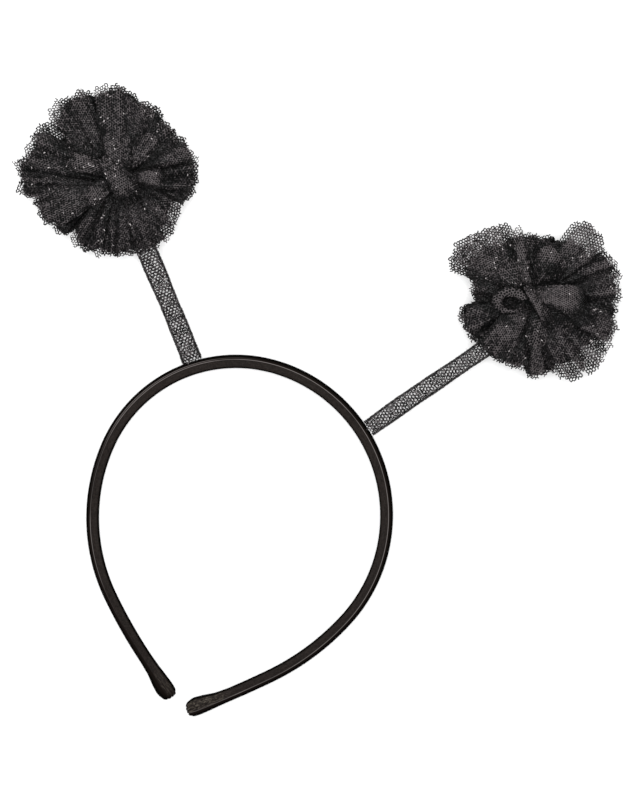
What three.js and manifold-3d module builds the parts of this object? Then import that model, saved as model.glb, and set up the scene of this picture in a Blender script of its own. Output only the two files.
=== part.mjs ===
// Antenna headband: a satin-covered band, two net sleeves that stand on it and two ruffled net pompoms.
// Millimetres. It lies flat on a table: +X to the wearer's side of the long sleeve, +Y from the open
// ends of the band to its crown, +Z up. The origin is at the middle of its footprint.

import * as THREE from 'three';
import { mergeVertices } from 'three/addons/utils/BufferGeometryUtils.js';
import Module from 'manifold-3d';

const wasm = await Module();
wasm.setup();

// Band
const BAND_WIDTH = 130; // between the middles of its two arms
const BAND_THICK = 5.5; // from its inner to its outer face
const BAND_DEPTH = 8; // from its back edge to its front edge
const CROWN_SWELL = 0.4; // what the satin adds to the thickness at the crown
const BAND_STEP = 7; // between two sections
const TIP_LENGTH = 20; // gathered stretch at each end
const TIP_FLARE = 1.9; // what the gathers add on one side of it
const TIP_BACK_FLARE = 0.5; // and on the other
const GATHER_DEEP = 0.55; // height of the gathers at the ends

// Net sleeves
const SLEEVE_WIDE = 8.2; // across, seen from the front
const SLEEVE_DEEP = 5.6; // front to back
const SLEEVE_WALL = 1;
const SLEEVE_HEM = 3; // plain stretch at each end
const GAPS_AROUND = 4;
const GAP_ROWS = 11;
const GAP_OPEN = 0.66; // share of a mesh that is open

// Pompoms
const POMPOM_RADIUS = 40;
const POMPOM_DEPTH = 44; // front to back
const KNOT_RADIUS = 11; // the gathered middle
const KNOT_DEPTH = 18;
const NET_WALL = 1.3;
const NOTCH_DEEP = 5; // how far the edge draws in between two lobes
const SOCKET_DEEP = 6; // how far a sleeve goes into the knot

const CLEARANCE = 0.3; // between pieces that touch
const SATIN = 0x1d1816;
const NET = 0x161414;

// Half of the band from the crown to one end: arcs with their radius as a share of the band's width.
// A negative sweep bends the other way.
const LEFT_ARCS = [
  { radius: 0.475, sweep: 81 },
  { radius: 0.615, sweep: 49.5 },
  { radius: 1.72, sweep: 8.9 },
  { radius: 8, sweep: 0.95 },
];
const RIGHT_ARCS = [
  { radius: 0.525, sweep: 117.5 },
  { radius: 0.85, sweep: 22 },
  { radius: 3.6, sweep: 4.8 },
];

// Section of the band: out as a share of half its thickness, up as a share of its depth.
// The satin is flat on the inner part, and a fine crease runs where the outer roll begins.
const BAND_SECTION = [
  { out: 0.62, up: 0 },
  { out: 0.86, up: 0.1 },
  { out: 1, up: 0.34 },
  { out: 0.98, up: 0.62 },
  { out: 0.84, up: 0.84 },
  { out: 0.58, up: 0.95 },
  { out: 0.36, up: 0.955 },
  { out: 0.26, up: 0.935 },
  { out: 0.12, up: 0.985 },
  { out: -0.35, up: 1 },
  { out: -0.8, up: 0.97 },
  { out: -1, up: 0.84 },
  { out: -1, up: 0.14 },
  { out: -0.84, up: 0 },
];

// Gathered end of the band: back is the distance from the end as a share of the gathered stretch,
// flare and gather are shares of their own sizes, close is how much the section draws together.
const TIP_ROWS = [
  { back: 1, flare: 0, gather: 0, close: 0 },
  { back: 0.7, flare: 0.15, gather: 0.1, close: 0 },
  { back: 0.42, flare: 0.75, gather: 0.5, close: 0 },
  { back: 0.2, flare: 1, gather: 1, close: 0 },
  { back: 0.07, flare: 0.9, gather: 1, close: 0.08 },
  { back: 0, flare: 0.45, gather: 0.4, close: 0.34 },
];

// Where each sleeve stands: along is its distance from the crown as a share of the band's width, lean
// is its turn away from +Y, reach is its length from the band's middle line as a share of that width.
const LEFT_SLEEVE = { side: -1, along: 0.259, lean: 37, reach: 0.642 };
const RIGHT_SLEEVE = { side: 1, along: 0.383, lean: 40, reach: 0.684 };

// Lobes of a ruffle, counterclockwise: each ends at an angle in degrees, and reaches out and lifts its
// edge by a share of the pompom's radius and depth.
const LEFT_POMPOM = {
  aside: 0,
  size: 1,
  outer: [
    { upTo: 29, reach: 0.87, lift: 0.1 },
    { upTo: 50, reach: 0.86, lift: 0.16 },
    { upTo: 65, reach: 0.81, lift: 0.06 },
    { upTo: 94, reach: 0.87, lift: 0.14 },
    { upTo: 126, reach: 1.07, lift: 0.08 },
    { upTo: 147, reach: 1.09, lift: 0.02 },
    { upTo: 175, reach: 1.08, lift: 0.1 },
    { upTo: 207, reach: 1.12, lift: 0.04 },
    { upTo: 245, reach: 0.98, lift: 0.1 },
    { upTo: 283, reach: 0.86, lift: 0.12 },
    { upTo: 314, reach: 0.81, lift: 0.1 },
    { upTo: 337, reach: 0.85, lift: 0.04 },
    { upTo: 357, reach: 0.78, lift: 0.1 },
  ],
  front: [
    { upTo: 32, reach: 0.6, lift: 0.36 },
    { upTo: 72, reach: 0.66, lift: 0.42 },
    { upTo: 122, reach: 0.84, lift: 0.44 },
    { upTo: 158, reach: 0.7, lift: 0.38 },
    { upTo: 204, reach: 0.8, lift: 0.44 },
    { upTo: 238, reach: 0.62, lift: 0.32 },
    { upTo: 264, reach: 0.66, lift: 0.36 },
    { upTo: 292, reach: 0.64, lift: 0.36 },
    { upTo: 352, reach: 0.64, lift: 0.4 },
  ],
  heart: [
    { upTo: 22, reach: 0.34, lift: 0.42 },
    { upTo: 84, reach: 0.36, lift: 0.38 },
    { upTo: 126, reach: 0.52, lift: 0.46 },
    { upTo: 192, reach: 0.4, lift: 0.38 },
    { upTo: 256, reach: 0.32, lift: 0.34 },
    { upTo: 316, reach: 0.34, lift: 0.36 },
  ],
};
const RIGHT_POMPOM = {
  aside: 6,
  size: 0.95,
  outer: [
    { upTo: 21, reach: 1.06, lift: 0.04 },
    { upTo: 47, reach: 1.03, lift: 0.12 },
    { upTo: 77, reach: 1.09, lift: 0.06 },
    { upTo: 96, reach: 0.74, lift: 0.12 },
    { upTo: 117, reach: 0.74, lift: 0.04 },
    { upTo: 145, reach: 0.96, lift: 0.12 },
    { upTo: 178, reach: 1.06, lift: 0.06 },
    { upTo: 198, reach: 0.72, lift: 0.1 },
    { upTo: 232, reach: 0.88, lift: 0.04 },
    { upTo: 274, reach: 0.85, lift: 0.12 },
    { upTo: 307, reach: 0.96, lift: 0.06 },
    { upTo: 335, reach: 1.13, lift: 0.12 },
    { upTo: 363, reach: 1.08, lift: 0.08 },
  ],
  front: [
    { upTo: 30, reach: 0.74, lift: 0.44 },
    { upTo: 66, reach: 0.66, lift: 0.36 },
    { upTo: 108, reach: 0.56, lift: 0.42 },
    { upTo: 146, reach: 0.66, lift: 0.36 },
    { upTo: 182, reach: 0.6, lift: 0.42 },
    { upTo: 222, reach: 0.56, lift: 0.4 },
    { upTo: 268, reach: 0.7, lift: 0.36 },
    { upTo: 306, reach: 0.66, lift: 0.42 },
    { upTo: 346, reach: 0.8, lift: 0.38 },
  ],
  heart: [
    { upTo: 46, reach: 0.58, lift: 0.42 },
    { upTo: 110, reach: 0.32, lift: 0.36 },
    { upTo: 172, reach: 0.34, lift: 0.4 },
    { upTo: 244, reach: 0.44, lift: 0.44 },
    { upTo: 298, reach: 0.32, lift: 0.36 },
    { upTo: 334, reach: 0.36, lift: 0.34 },
  ],
};
const BACK_LOBES = 8;
const BACK_REACH = 0.9; // of the outer ruffle in front of it

// How each ruffle leaves the knot and where its edge lies, as shares of the pompom's depth.
const RUFFLES = {
  heart: { from: 0.66, edge: 0.5, wave: 0.08, bend: 0.6 },
  front: { from: 0.62, edge: 0.42, wave: 0.1, bend: 0.75 },
  outer: { from: 0.5, edge: 0.4, wave: 0.13, bend: 1.2 },
  back: { from: 0.38, edge: 0.1, wave: 0.1, bend: 0.9 },
};
const RUFFLE_ROWS = [0.16, 0.46, 0.76, 1];
const LOBE_STEPS = [-1, -0.62, 0, 0.62];

const rad = THREE.MathUtils.degToRad;
const lerp = THREE.MathUtils.lerp;
const point = (x, y, z) => new THREE.Vector3(x, y, z);

// A closed mesh through loops of points, capped at both ends or joined into a ring.
function throughLoops(loops, ring = false) {
  const count = loops[0].length;
  const points = loops.flat();
  const faces = [];
  const joins = ring ? loops.length : loops.length - 1;
  for (let i = 0; i < joins; i += 1) {
    const a = i * count;
    const b = ((i + 1) % loops.length) * count;
    for (let j = 0; j < count; j += 1) {
      const k = (j + 1) % count;
      faces.push([a + j, a + k, b + k]);
      faces.push([a + j, b + k, b + j]);
    }
  }
  if (!ring) {
    const last = (loops.length - 1) * count;
    const near = points.push(middleOf(loops[0])) - 1;
    const far = points.push(middleOf(loops[loops.length - 1])) - 1;
    for (let j = 0; j < count; j += 1) {
      const k = (j + 1) % count;
      faces.push([near, k, j]);
      faces.push([far, last + j, last + k]);
    }
  }
  return meshOf(points, faces);
}

function middleOf(loop) {
  const sum = point(0, 0, 0);
  loop.forEach((p) => sum.add(p));
  return sum.divideScalar(loop.length);
}

// Six times the volume that the faces enclose, negative where they face inwards.
function signedVolume(points, faces) {
  let sum = 0;
  for (const [a, b, c] of faces) {
    sum += points[a].dot(points[b].clone().cross(points[c]));
  }
  return sum;
}

function meshOf(points, faces) {
  const outwards = signedVolume(points, faces) > 0 ? faces : faces.map(([a, b, c]) => [a, c, b]);
  const geometry = new THREE.BufferGeometry().setFromPoints(points);
  geometry.setIndex(outwards.flat());
  return mergeVertices(geometry);
}

function toSolid(geometry) {
  const bare = geometry.clone();
  bare.deleteAttribute('normal');
  bare.deleteAttribute('uv');
  const merged = mergeVertices(bare);
  return new wasm.Manifold(new wasm.Mesh({
    numProp: 3,
    vertProperties: new Float32Array(merged.attributes.position.array),
    triVerts: new Uint32Array(merged.index.array),
  }));
}

function fromSolid(solid) {
  const mesh = solid.getMesh();
  const geometry = new THREE.BufferGeometry();
  geometry.setAttribute('position', new THREE.BufferAttribute(mesh.vertProperties, mesh.numProp));
  geometry.setIndex(new THREE.BufferAttribute(mesh.triVerts, 1));
  return geometry;
}

function piece(name, geometry, color, roughness) {
  geometry.computeVertexNormals();
  const material = new THREE.MeshStandardMaterial({ color, roughness, metalness: 0 });
  const mesh = new THREE.Mesh(geometry, material);
  mesh.name = name;
  return mesh;
}

// Length of one arm of the band.
function armLength(arcs) {
  return arcs.reduce((sum, arc) => sum + arc.radius * BAND_WIDTH * Math.abs(rad(arc.sweep)), 0);
}

// Place and heading on one arm, at a length from the crown. Side is -1 on the left and 1 on the right.
function armPoint(arcs, side, length) {
  const at = new THREE.Vector2(0, 0);
  let heading = 0;
  let left = length;
  for (const arc of arcs) {
    const sign = Math.sign(arc.sweep);
    const radius = arc.radius * BAND_WIDTH;
    const full = Math.abs(rad(arc.sweep));
    const isLast = arc === arcs[arcs.length - 1];
    const turn = isLast ? left / radius : Math.min(left / radius, full);
    const next = heading + sign * turn;
    at.x += sign * radius * (Math.sin(next) - Math.sin(heading));
    at.y -= sign * radius * (Math.cos(heading) - Math.cos(next));
    heading = next;
    left -= turn * radius;
    if (left <= 0) {
      break;
    }
  }
  return {
    x: side * at.x,
    y: at.y,
    outX: side * Math.sin(heading),
    outY: Math.cos(heading),
  };
}

// Value of one column of the gathered end, at a distance from the end.
function tipValue(column, fromEnd) {
  const back = fromEnd / TIP_LENGTH;
  if (back >= 1) {
    return TIP_ROWS[0][column];
  }
  const next = TIP_ROWS.findIndex((row) => row.back <= back + 1e-9);
  const low = TIP_ROWS[Math.max(next, 1)];
  const high = TIP_ROWS[Math.max(next, 1) - 1];
  return lerp(low[column], high[column], (back - low.back) / (high.back - low.back));
}

// One section of the band, grown by a margin where it serves as a cutter.
function bandLoop(arcs, side, length, margin) {
  const total = armLength(arcs);
  const here = armPoint(arcs, side, length);
  const fromEnd = total - length;
  const flare = tipValue('flare', fromEnd);
  const gather = GATHER_DEEP * tipValue('gather', fromEnd);
  const close = 1 - tipValue('close', fromEnd);
  const swell = CROWN_SWELL * Math.max(0, Math.cos((length / total) * Math.PI));
  const half = (BAND_THICK + swell) / 2;
  return BAND_SECTION.map(({ out, up }, i) => {
    const full = out * -side > 0 ? TIP_FLARE : TIP_BACK_FLARE;
    const away = out * (half * close + flare * full) + Math.sign(out) * margin;
    const fold = up > 0.9 ? gather * (i % 2 === 0 ? -1 : 0) : 0;
    const high = up * BAND_DEPTH + fold + (up > 0.5 ? margin : -margin);
    const low = up > 0.5 ? (1 - close) * BAND_DEPTH * 0.4 : 0;
    return point(here.x + here.outX * away, here.y + here.outY * away, high - low);
  });
}

// Lengths of the sections on one arm: even steps, then the rows of the gathered end.
function armStations(arcs) {
  const total = armLength(arcs);
  const plain = total - TIP_LENGTH;
  const steps = Math.ceil(plain / BAND_STEP);
  const lengths = [];
  for (let i = 0; i < steps; i += 1) {
    lengths.push((plain * i) / steps);
  }
  TIP_ROWS.forEach((row) => lengths.push(total - row.back * TIP_LENGTH));
  return lengths;
}

function bandGeometry(margin = 0) {
  const left = armStations(LEFT_ARCS).map((length) => bandLoop(LEFT_ARCS, -1, length, margin));
  const right = armStations(RIGHT_ARCS).map((length) => bandLoop(RIGHT_ARCS, 1, length, margin));
  return throughLoops([...left.slice(1).reverse(), ...right]);
}

// Middle line of a sleeve: from the band's middle line up to its seat in the knot of the pompom.
function sleeveLine(sleeve) {
  const arcs = sleeve.side < 0 ? LEFT_ARCS : RIGHT_ARCS;
  const root = armPoint(arcs, sleeve.side, sleeve.along * BAND_WIDTH);
  const lean = rad(sleeve.lean) * sleeve.side;
  const reach = sleeve.reach * BAND_WIDTH;
  const start = point(root.x, root.y, BAND_DEPTH / 2);
  const end = point(Math.sin(lean) * reach, Math.cos(lean) * reach, POMPOM_DEPTH / 2 - start.z).add(start);
  const along = end.clone().sub(start).normalize();
  const across = point(Math.cos(lean), -Math.sin(lean), 0);
  const over = across.clone().cross(along);
  return { start, end, along, across, over, length: start.distanceTo(end) };
}

// Point on an oval round the sleeve's middle line; turn is a share of the way round.
function ovalPoint(line, turn, distance, inset) {
  const angle = turn * 2 * Math.PI;
  return line.start.clone()
    .addScaledVector(line.along, distance)
    .addScaledVector(line.across, (SLEEVE_WIDE / 2 - inset) * Math.cos(angle))
    .addScaledVector(line.over, (SLEEVE_DEEP / 2 - inset) * Math.sin(angle));
}

// A tube of net: crossings stand in rows, half a mesh apart, and each mesh has a diamond gap.
function netSleeve(line) {
  const from = BAND_THICK / 2 + CLEARANCE + SLEEVE_HEM;
  const upTo = line.length - SLEEVE_HEM;
  const pitch = (upTo - from) / (GAP_ROWS + 1);
  const points = [];
  const faces = [];
  const corner = (turn, row, inset) => {
    points.push(ovalPoint(line, turn / GAPS_AROUND, from + row * pitch, inset));
    return points.length - 1;
  };
  const quad = (a, b, c, d, inwards) => {
    faces.push(...(inwards ? [[a, c, b], [a, d, c]] : [[a, b, c], [a, c, d]]));
  };
  for (let row = 1; row <= GAP_ROWS; row += 1) {
    for (let i = 0; i < GAPS_AROUND; i += 1) {
      const mid = i + 0.5 + (row % 2) / 2;
      const ways = [[0.5, 0], [0, 1], [-0.5, 0], [0, -1]];
      const ring = (share, inset) => ways.map(([a, r]) => corner(mid + a * share, row + r * share, inset));
      const outer = [ring(1, 0), ring(GAP_OPEN, 0)];
      const inner = [ring(1, SLEEVE_WALL), ring(GAP_OPEN, SLEEVE_WALL)];
      for (let k = 0; k < 4; k += 1) {
        const n = (k + 1) % 4;
        quad(outer[0][k], outer[0][n], outer[1][n], outer[1][k], false);
        quad(inner[0][k], inner[0][n], inner[1][n], inner[1][k], true);
        quad(outer[1][k], outer[1][n], inner[1][n], inner[1][k], false);
      }
    }
  }
  const rows = GAP_ROWS + 1;
  hemFaces(corner, faces, { row: 0, next: 1, rim: -from / pitch });
  hemFaces(corner, faces, { row: rows, next: GAP_ROWS, rim: rows + SLEEVE_HEM / pitch });
  return meshOf(points, faces);
}

// The plain end of a sleeve: half meshes are filled, and a short tube closes them off.
function hemFaces(corner, faces, { row, next, rim }) {
  const sign = next > row ? 1 : -1;
  const add = (a, b, c) => faces.push(sign > 0 ? [a, b, c] : [a, c, b]);
  for (let i = 0; i < GAPS_AROUND; i += 1) {
    const west = i + (row % 2) / 2;
    const turns = [west, west + 0.5, west + 1];
    for (const inset of [0, SLEEVE_WALL]) {
      const [a, b, c] = turns.map((turn) => corner(turn, row, inset));
      const [p, q, r] = turns.map((turn) => corner(turn, rim, inset));
      const peak = corner(west + 0.5, next, inset);
      const put = (x, y, z) => (inset ? add(x, z, y) : add(x, y, z));
      put(a, b, peak);
      put(b, c, peak);
      put(p, b, a);
      put(p, q, b);
      put(q, c, b);
      put(q, r, c);
    }
    const rimOf = (inset) => turns.map((turn) => corner(turn, rim, inset));
    const [p, q, r] = rimOf(0);
    const [u, v, w] = rimOf(SLEEVE_WALL);
    add(p, u, q);
    add(u, v, q);
    add(q, v, r);
    add(v, w, r);
  }
}

// Solid oval bar round a sleeve's line, as the cutter for its socket.
function socketBar(line, margin) {
  const loops = [SLEEVE_HEM, line.length + margin].map((distance) => {
    const loop = [];
    for (let i = 0; i < 4 * GAPS_AROUND; i += 1) {
      loop.push(ovalPoint(line, i / (4 * GAPS_AROUND), distance, -margin));
    }
    return loop;
  });
  return throughLoops(loops);
}

// Centre of a pompom: past the sleeve's end, and aside from its line.
function pompomCentre(line, pompom) {
  const past = KNOT_RADIUS - SOCKET_DEEP;
  const plan = point(line.along.x, line.along.y, 0).normalize();
  return line.end.clone()
    .addScaledVector(plan, past)
    .addScaledVector(line.across, -pompom.aside)
    .setZ(POMPOM_DEPTH / 2);
}

// Even lobes for the back ruffle, which stays just inside the outer one.
function backLobes(outer) {
  const width = 360 / BACK_LOBES;
  return Array.from({ length: BACK_LOBES }, (_, i) => {
    const above = outer.find((lobe) => lobe.upTo >= (i + 0.5) * width);
    return { upTo: (i + 1) * width, reach: above.reach * BACK_REACH, lift: 0 };
  });
}

// One ruffle: a thick sheet that leaves the knot all round, arched up in each lobe.
function ruffle(lobes, shape, centre, size) {
  const radius = POMPOM_RADIUS * size;
  const stations = [];
  lobes.forEach((lobe, i) => {
    const before = i === 0 ? lobes[lobes.length - 1].upTo - 360 : lobes[i - 1].upTo;
    const previous = lobes[(i + lobes.length - 1) % lobes.length];
    LOBE_STEPS.forEach((step) => {
      const blend = step === -1 ? 0.5 : 1;
      stations.push({
        angle: rad(lerp(before, lobe.upTo, (step + 1) / 2)),
        reach: lerp(previous.reach, lobe.reach, blend) * radius - NOTCH_DEEP * Math.abs(step) ** 4,
        lift: lerp(previous.lift, lobe.lift, blend) * POMPOM_DEPTH,
        wave: Math.cos(step * Math.PI),
      });
    });
  });
  const floor = -POMPOM_DEPTH / 2 + NET_WALL / 2;
  const grid = stations.map((station) => RUFFLE_ROWS.map((row) => {
    const rise = lerp(shape.from, shape.edge, row ** shape.bend) - 0.5;
    const fold = row ** 2 * (station.lift + shape.wave * POMPOM_DEPTH * station.wave);
    const up = Math.max(rise * POMPOM_DEPTH + fold, floor);
    const out = station.reach * row;
    return point(Math.cos(station.angle) * out, Math.sin(station.angle) * out, up);
  }));
  return throughLoops(grid.map((rows, i) => {
    const before = grid[(i + grid.length - 1) % grid.length];
    const after = grid[(i + 1) % grid.length];
    const offsets = rows.map((p, j) => {
      const along = rows[Math.min(j + 1, rows.length - 1)].clone().sub(rows[Math.max(j - 1, 0)]);
      const round = after[j].clone().sub(before[j]);
      return along.cross(round).normalize().multiplyScalar(NET_WALL / 2);
    });
    const top = rows.map((p, j) => settle(p.clone().add(offsets[j])).add(centre));
    const under = rows.map((p, j) => settle(p.clone().sub(offsets[j])).add(centre));
    return [...top, ...under.reverse()];
  }), true);
}

// Net is pressed flat where it meets the table.
function settle(p) {
  return p.setZ(Math.max(p.z, -POMPOM_DEPTH / 2));
}

function pompomSolid(line, pompom) {
  const centre = pompomCentre(line, pompom);
  const knot = new THREE.SphereGeometry(KNOT_RADIUS, 10, 6).rotateX(Math.PI / 2);
  knot.scale(1, 1, KNOT_DEPTH / (2 * KNOT_RADIUS));
  knot.translate(centre.x, centre.y, centre.z);
  const back = backLobes(pompom.outer);
  return toSolid(knot)
    .add(toSolid(ruffle(pompom.heart, RUFFLES.heart, centre, pompom.size)))
    .add(toSolid(ruffle(pompom.front, RUFFLES.front, centre, pompom.size)))
    .add(toSolid(ruffle(pompom.outer, RUFFLES.outer, centre, pompom.size)))
    .add(toSolid(ruffle(back, RUFFLES.back, centre, pompom.size)))
    .subtract(toSolid(socketBar(line, CLEARANCE)));
}

function sleeveSolid(line) {
  return toSolid(netSleeve(line)).subtract(toSolid(bandGeometry(CLEARANCE)));
}

const leftLine = sleeveLine(LEFT_SLEEVE);
const rightLine = sleeveLine(RIGHT_SLEEVE);

const headband = new THREE.Group();
headband.add(
  piece('headband', bandGeometry(), SATIN, 0.45),
  piece('stem_left', fromSolid(sleeveSolid(leftLine)), NET, 0.6),
  piece('stem_right', fromSolid(sleeveSolid(rightLine)), NET, 0.6),
  piece('pompom_left', fromSolid(pompomSolid(leftLine, LEFT_POMPOM)), NET, 0.7),
  piece('pompom_right', fromSolid(pompomSolid(rightLine, RIGHT_POMPOM)), NET, 0.7),
);

// The origin is the middle of the footprint, on the table.
const box = new THREE.Box3().setFromObject(headband);
const middle = box.getCenter(point(0, 0, 0));
headband.position.set(-middle.x, -middle.y, -box.min.z);
headband.updateMatrixWorld(true);

export default headband;
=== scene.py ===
"""Antenna headband: a band covered in black satin, two net sleeves that stand on it as antennae and a
pompom of gathered net on each. It lies on a pale floor and is seen from straight above."""

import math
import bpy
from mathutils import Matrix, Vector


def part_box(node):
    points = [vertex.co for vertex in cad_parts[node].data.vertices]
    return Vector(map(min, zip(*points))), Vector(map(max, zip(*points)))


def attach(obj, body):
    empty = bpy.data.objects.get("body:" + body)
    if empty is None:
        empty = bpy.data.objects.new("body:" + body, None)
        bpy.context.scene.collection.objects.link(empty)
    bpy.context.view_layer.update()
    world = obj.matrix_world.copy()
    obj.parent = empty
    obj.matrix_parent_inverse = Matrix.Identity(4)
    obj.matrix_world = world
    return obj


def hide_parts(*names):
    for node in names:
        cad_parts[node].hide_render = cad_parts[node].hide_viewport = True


bl_info = {
    "name": "Antenna headband",
    "version": (1, 0, 0),
    "blender": (4, 5, 0),
    "location": "3D View > Sidebar > Headband",
    "description": "Makes the band, the net sleeves and the pompoms of an antenna headband",
    "category": "Add Mesh",
}

from collections import namedtuple

import bpy
import numpy as np
from bpy.props import FloatProperty, FloatVectorProperty, IntProperty, PointerProperty
from mathutils import Vector

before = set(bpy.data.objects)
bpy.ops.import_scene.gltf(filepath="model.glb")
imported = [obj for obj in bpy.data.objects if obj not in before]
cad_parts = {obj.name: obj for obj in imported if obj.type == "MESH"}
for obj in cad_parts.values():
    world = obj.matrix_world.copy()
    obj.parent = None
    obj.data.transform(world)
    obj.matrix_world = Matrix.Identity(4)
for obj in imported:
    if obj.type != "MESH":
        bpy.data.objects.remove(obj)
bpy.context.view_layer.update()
MM = 0.001

# Half of the band from the crown to one end, in arcs: radius is a share of the band's width, sweep in degrees.
Arc = namedtuple("Arc", "radius sweep")
LEFT_ARCS = (Arc(0.475, 81), Arc(0.615, 49.5), Arc(1.72, 8.9), Arc(8, 0.95))
RIGHT_ARCS = (Arc(0.525, 117.5), Arc(0.85, 22), Arc(3.6, 4.8))

# Section of the band: out as a share of half its thickness, up as a share of its depth. The satin is
# drawn flat over the inner part, folds over a thin ridge and rolls down on the outer side.
SectionPoint = namedtuple("SectionPoint", "out up")
BAND_SECTION = tuple(
    SectionPoint(*row)
    for row in (
        (0.60, 0.0), (0.86, 0.08), (1.0, 0.32), (0.99, 0.6), (0.88, 0.8), (0.68, 0.91), (0.46, 0.955),
        (0.36, 0.975), (0.3, 0.998), (0.23, 0.975), (0.12, 0.965), (-0.35, 0.985), (-0.78, 0.97),
        (-0.96, 0.9), (-1.0, 0.75), (-1.0, 0.2), (-0.95, 0.06), (-0.84, 0.0),
    )
)

# Gathered end of the band: back is the distance from the end as a share of the gathered stretch, flare,
# gather and close are shares of the widening, of the pleats' height and of the drawing together.
TipRow = namedtuple("TipRow", "back flare gather close")
TIP_ROWS = tuple(
    TipRow(*row)
    for row in (
        (0.0, 0.3, 0.5, 0.97), (0.015, 0.5, 0.8, 0.6), (0.04, 0.7, 1.0, 0.33), (0.08, 0.86, 1.0, 0.14),
        (0.14, 0.96, 1.0, 0.04), (0.24, 1.0, 0.8, 0.0), (0.42, 0.78, 0.4, 0.0), (0.7, 0.2, 0.12, 0.0),
        (1.0, 0.0, 0.0, 0.0),
    )
)

# Where a sleeve stands: along and reach are shares of the band's width and lean is in degrees from +Y.
# Wide and strand are its width and its yarn's beside the listed sizes, and aside is its shift in mm.
Sleeve = namedtuple("Sleeve", "node side along lean reach wide aside strand")
SLEEVES = (
    Sleeve("stem_left", -1, 0.259, 37, 0.642, 1.07, -0.77, 1.13),
    Sleeve("stem_right", 1, 0.383, 40, 0.684, 0.95, 1.0, 1.0),
)

# A petal of gathered net: at is its direction in degrees, wide its width at the edge and reach how far
# it goes as shares of the pompom's radius, low and high the height of its foot and edge as shares of the
# depth. Arch is how round it is across, in half turns, below 0 for a trough, bulge how much it swells
# between foot and edge as a share of the depth, neck the width of its foot as a share of its edge's and
# foot where that begins. Roll bends the edge down, slant draws one corner out, pleats is how many small
# folds run up it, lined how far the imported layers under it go, and tip how much its corners are rounded.
Petal = namedtuple(
    "Petal",
    "at wide reach low high arch bulge neck foot roll slant pleats lined tip",
    defaults=(0.5, 0.06, 0.35, 0.04, 0.0, 0.0, 0, 0.86, 0.12),
)

# Lobes of the outline, counterclockwise: each ends at an angle, and reach is a share of the radius. An
# open lobe is one layer of net at its edge, which shows the floor through its meshes.
Lobe = namedtuple("Lobe", "up_to reach slant open", defaults=(0.0, False))
LEFT_OUTLINE = tuple(
    Lobe(*row)
    for row in (
        (30, 0.88), (52, 0.87), (73, 0.84), (97, 0.92, 0.03), (121, 1.04), (126, 0.92), (147, 1.09),
        (167, 1.07, 0.0, True), (186, 1.09), (201, 1.17, -0.02), (224, 1.01), (239, 0.94, -0.02),
        (246, 0.84), (267, 0.9), (292, 0.87), (317, 0.88), (335, 0.86, 0.0, True), (356, 0.8, -0.02, True),
    )
)
RIGHT_OUTLINE = tuple(
    Lobe(*row)
    for row in (
        (13, 1.06), (30, 1.07), (47, 1.06), (73, 1.12, -0.06, True), (97, 0.76), (117, 0.74),
        (146, 0.97, 0.02, True), (174, 1.08, 0.0, True), (203, 0.7), (231, 0.88), (258, 0.87),
        (287, 0.87, 0.02), (304, 0.97, 0.02), (323, 1.12, 0.02, True), (345, 1.17, 0.0, True), (358, 1.1),
    )
)

# Petals that show on the front of each pompom, the lower ones first.
LEFT_FRONT = (
    Petal(16, 0.55, 0.86, 0.6, 0.62, 0.45, pleats=2),
    Petal(345, 0.4, 0.78, 0.6, 0.62, 0.6, pleats=1, lined=0.82),
    Petal(326, 0.36, 0.86, 0.62, 0.62, 0.6, pleats=1, lined=0.82),
    Petal(85, 0.5, 0.86, 0.68, 0.69, 0.35),
    Petal(58, 0.42, 0.79, 0.64, 0.66, 0.4),
    Petal(38, 0.42, 0.83, 0.66, 0.68, 0.5, pleats=1),
    Petal(174, 0.46, 1.0, 0.6, 0.62, 0.4, pleats=1, lined=0.7),
    Petal(196, 0.36, 1.12, 0.64, 0.62, 0.4, pleats=1, lined=0.9),
    Petal(180, 0.5, 1.04, 0.66, 0.66, 0.45, pleats=1),
    Petal(206, 0.3, 0.84, 0.6, 0.58, -0.6),
    Petal(217, 0.38, 0.97, 0.62, 0.6, 0.45, bulge=0.08),
    Petal(228, 0.42, 0.93, 0.68, 0.62, 0.5, bulge=0.08),
    Petal(156, 0.4, 0.73, 0.66, 0.69, 0.3, neck=0.8, lined=0.9),
    Petal(141, 0.42, 1.06, 0.66, 0.68, 0.35, bulge=0.06, lined=0.84),
    Petal(135, 0.28, 1.04, 0.7, 0.72, 0.5, bulge=0.08, neck=0.5, lined=0.88),
    Petal(110, 0.38, 1.0, 0.72, 0.72, 0.4, bulge=0.1, neck=0.7, lined=0.9, tip=0.02),
    Petal(250, 0.24, 0.88, 0.7, 0.58, 0.9, bulge=0.05, neck=0.45),
    Petal(262, 0.24, 0.88, 0.71, 0.58, 0.9, bulge=0.05, neck=0.45),
    Petal(275, 0.26, 0.86, 0.7, 0.58, 0.9, bulge=0.05, neck=0.45),
    Petal(291, 0.32, 0.86, 0.71, 0.58, 0.8, bulge=0.05, neck=0.45),
    Petal(309, 0.36, 0.86, 0.7, 0.6, 0.6, bulge=0.05, neck=0.45, lined=0.84),
)
LEFT_HEART = (
    Petal(62, 0.34, 0.6, 0.76, 0.78, 0.6, neck=0.5, tip=0.4),
    Petal(170, 0.36, 0.62, 0.76, 0.8, 0.9, bulge=0.06, neck=0.5, roll=0.5, tip=0.5),
    Petal(236, 0.34, 0.5, 0.76, 0.72, 0.8, neck=0.6, roll=0.3, tip=0.6),
    Petal(14, 0.36, 0.56, 0.76, 0.8, 1.0, bulge=0.06, neck=0.5, roll=0.6, foot=0.1, tip=0.5),
    Petal(106, 0.4, 0.54, 0.8, 0.83, 0.6, bulge=0.05, neck=0.7, foot=-0.04, roll=0.3, tip=0.4),
    Petal(322, 0.34, 0.36, 0.82, 0.82, 0.7, bulge=0.08, neck=0.8, foot=-0.26, roll=0.6, tip=0.5),
)
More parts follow.
